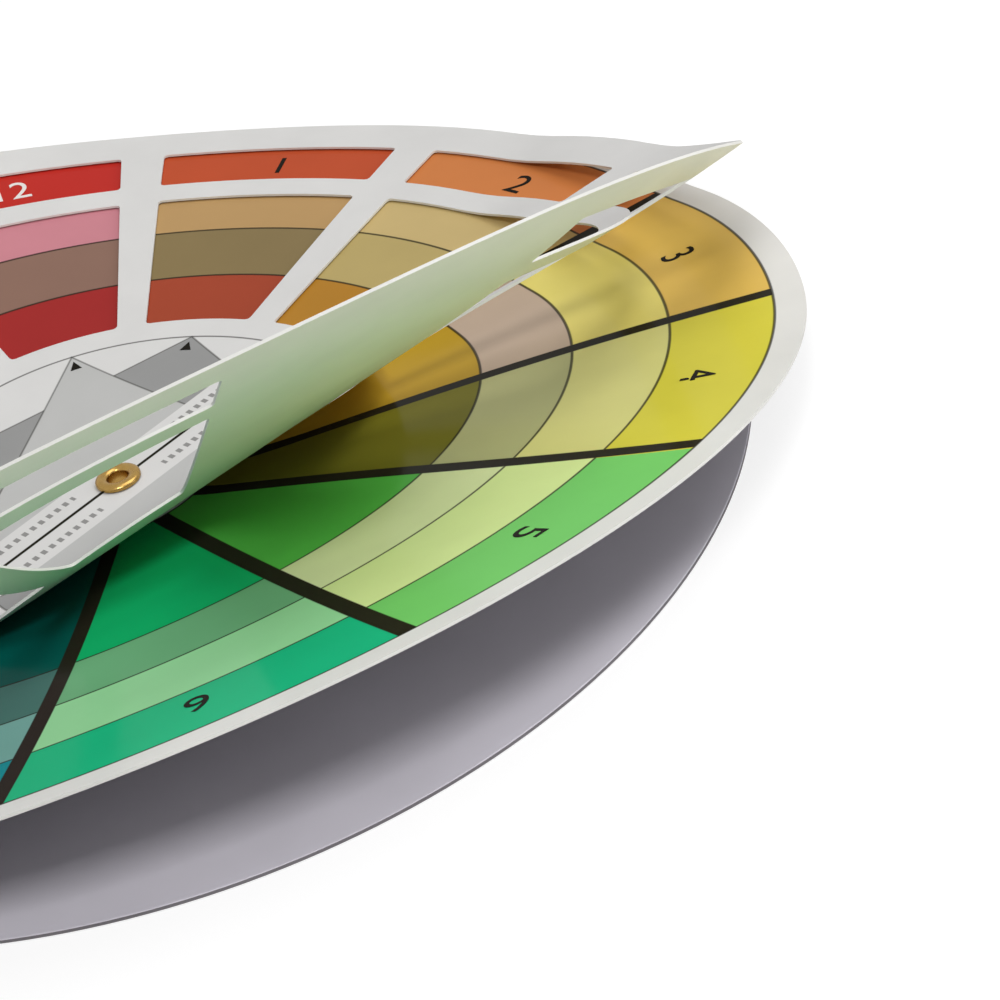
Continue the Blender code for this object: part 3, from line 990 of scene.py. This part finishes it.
# %% Eyelet
BORE = 0.0018
BARREL = 0.0022
FLANGE = 0.0039
REAR = 0.0033
REAR_THICKNESS = 0.00025
FLANGE_UNDER = CHART_LEVEL + MASK_LIFT + CARD / 2 + DISC_GAP
LIP = 0.00025
REAR_ROUND = 0.0001
BORE_ROUND = 0.0002
BEAD_STEPS = 16
EYELET_STEPS = 96
CROWN = eyelet_high.z - FLANGE_UNDER - LIP
eyelet_profile = []
for i in range(BEAD_STEPS + 1):
    t = math.pi * (1 - i / BEAD_STEPS)
    eyelet_profile.append(((BORE + FLANGE) / 2 + (FLANGE - BORE) / 2 * math.cos(t),
                           FLANGE_UNDER + LIP + CROWN * math.sin(t)))
eyelet_profile += [
    (FLANGE, FLANGE_UNDER), (BARREL, FLANGE_UNDER), (BARREL, REAR_THICKNESS),
    (REAR - REAR_ROUND, REAR_THICKNESS), (REAR, REAR_THICKNESS / 2),
    (REAR - REAR_ROUND, 0), (BORE + BORE_ROUND, 0), (BORE, BORE_ROUND),
]
turned("eyelet_rolled", eyelet_profile, EYELET_STEPS, [brass], "back", "eyelet")

# %% [markdown]
# ## Floor, light and camera
# The wheel lies on plain white. The floor looks white to the camera but still takes the
# soft shadow. A broad lamp stands above on the right. A smaller one in front reaches
# under the raised rim of the chart, so that the back disc gets a shaded and a lit part,
# and a weak low one at the right looks into the gap between the cards. The world is
# brighter at the right as well, as in a room with its window on that side.

# %% Rays that look
def watched_rays(tree):
    """1 for a ray that shows a surface to the camera, straight or in a reflection."""
    path = add(tree, "ShaderNodeLightPath").outputs
    return calc(tree, "MAXIMUM", path["Is Camera Ray"],
                calc(tree, "MAXIMUM", path["Is Glossy Ray"], path["Is Transmission Ray"]))


# %% Floor
FLOOR_REACH = 4
FLOOR_LEVEL = -0.0002
FLOOR_GLOW = 0.78
floor_mesh = bpy.data.meshes.new("floor")
corners = [(x * FLOOR_REACH, y * FLOOR_REACH, FLOOR_LEVEL)
           for x, y in ((-1, -1), (1, -1), (1, 1), (-1, 1))]
floor_mesh.from_pydata(corners, [], [(0, 1, 2, 3)])
floor = new_object("floor", floor_mesh)
floor_look = bpy.data.materials.new("white_surface")
floor_look.use_nodes = True
tree = floor_look.node_tree
tree.nodes.clear()
shadowed = add(tree, "ShaderNodeBsdfDiffuse", {"Color": (0.8, 0.8, 0.8, 1)}).outputs[0]
taking = add(tree, "ShaderNodeBsdfDiffuse", {"Color": (0.3, 0.3, 0.3, 1)}).outputs[0]
bright = add(tree, "ShaderNodeEmission", {"Strength": FLOOR_GLOW}).outputs[0]
seen = add(tree, "ShaderNodeAddShader", {0: taking, 1: bright}).outputs[0]
both = add(tree, "ShaderNodeMixShader",
           {0: watched_rays(tree), 1: shadowed, 2: seen}).outputs[0]
add(tree, "ShaderNodeOutputMaterial", {"Surface": both})
floor_mesh.materials.append(floor_look)
print("floor", 2 * FLOOR_REACH, "m wide at", FLOOR_LEVEL)

# %% World
DIM_SIDE = (-0.85, -0.5, 0.0)
BRIGHT_AMBIENT = 0.78
DIM_AMBIENT = 0.04
world = bpy.data.worlds.new("studio")
bpy.context.scene.world = world
world.use_nodes = True
tree = world.node_tree
tree.nodes.clear()
toward = add(tree, "ShaderNodeTexCoord").outputs["Generated"]
facing = add(tree, "ShaderNodeVectorMath", {0: toward, 1: DIM_SIDE},
             operation="DOT_PRODUCT").outputs["Value"]
ambient = add(tree, "ShaderNodeMapRange", {
    "Value": facing, "From Min": -1.0, "To Min": BRIGHT_AMBIENT,
    "To Max": DIM_AMBIENT}).outputs[0]
strength = add(tree, "ShaderNodeMapRange", {
    "Value": watched_rays(tree), "To Min": ambient, "To Max": 1.0}).outputs[0]
sky = add(tree, "ShaderNodeBackground", {"Strength": strength}).outputs[0]
add(tree, "ShaderNodeOutputWorld", {"Surface": sky})
print(world.name, len(tree.nodes), "nodes")


# %% Lamps
def lamp(name, place, size, power):
    """Square area lamp that looks at the middle of the floor."""
    light = bpy.data.lights.new(name, "AREA")
    light.shape = "SQUARE"
    light.size = size
    light.energy = power
    holder = new_object(name, light)
    holder.location = place
    holder.rotation_mode = "QUATERNION"
    holder.rotation_quaternion = (-Vector(place)).to_track_quat("-Z", "Y")
    print(name, "lamp", power, "W,", round(Vector(place).length, 2), "m away")


lamp("key", (0.4, 0.0, 0.9), size=0.75, power=3.7)
lamp("front", (-0.1, -0.62, 0.82), size=0.22, power=3.9)
lamp("side", (0.62, -0.3, 0.2), size=0.25, power=0.65)

# %% Camera
CAMERA_DISTANCE = 4.0 * CHART_RADIUS
CAMERA_HEIGHT = math.radians(31.527)
CAMERA_YAW = math.radians(7.154)
CAMERA_PITCH = math.radians(-2.928)
CAMERA_ROLL = math.radians(19.864)
SENSOR_WIDTH = 36
FOCAL_SHARE = 2.7989
NEAREST = 0.01
camera_data = bpy.data.cameras.new("camera")
camera = new_object("camera", camera_data)
bpy.context.scene.camera = camera
camera_data.sensor_width = SENSOR_WIDTH
camera_data.lens = FOCAL_SHARE * SENSOR_WIDTH
camera_data.clip_start = NEAREST
place = CAMERA_DISTANCE * Vector((0, -math.cos(CAMERA_HEIGHT), math.sin(CAMERA_HEIGHT)))
forward = -place.normalized()
right = Vector((1, 0, 0))
up = right.cross(forward)
# The rows of the aim are the camera's right, its up and its forward.
aim = Matrix((right, up, forward))
yaw = Matrix.Rotation(-CAMERA_YAW, 3, "Y")
pitch = Matrix.Rotation(CAMERA_PITCH, 3, "X")
roll = Matrix.Rotation(CAMERA_ROLL, 3, "Z")
aim = roll @ pitch @ yaw @ aim
view = Matrix((aim[0], aim[1], -aim[2])).transposed().to_4x4()
view.translation = place + Vector((AXIS_X, AXIS_Y, CHART_LEVEL))
camera.matrix_world = view
print("lens", round(camera_data.lens, 1), "mm")

# %% View transform
bpy.context.scene.view_settings.view_transform = "Standard"
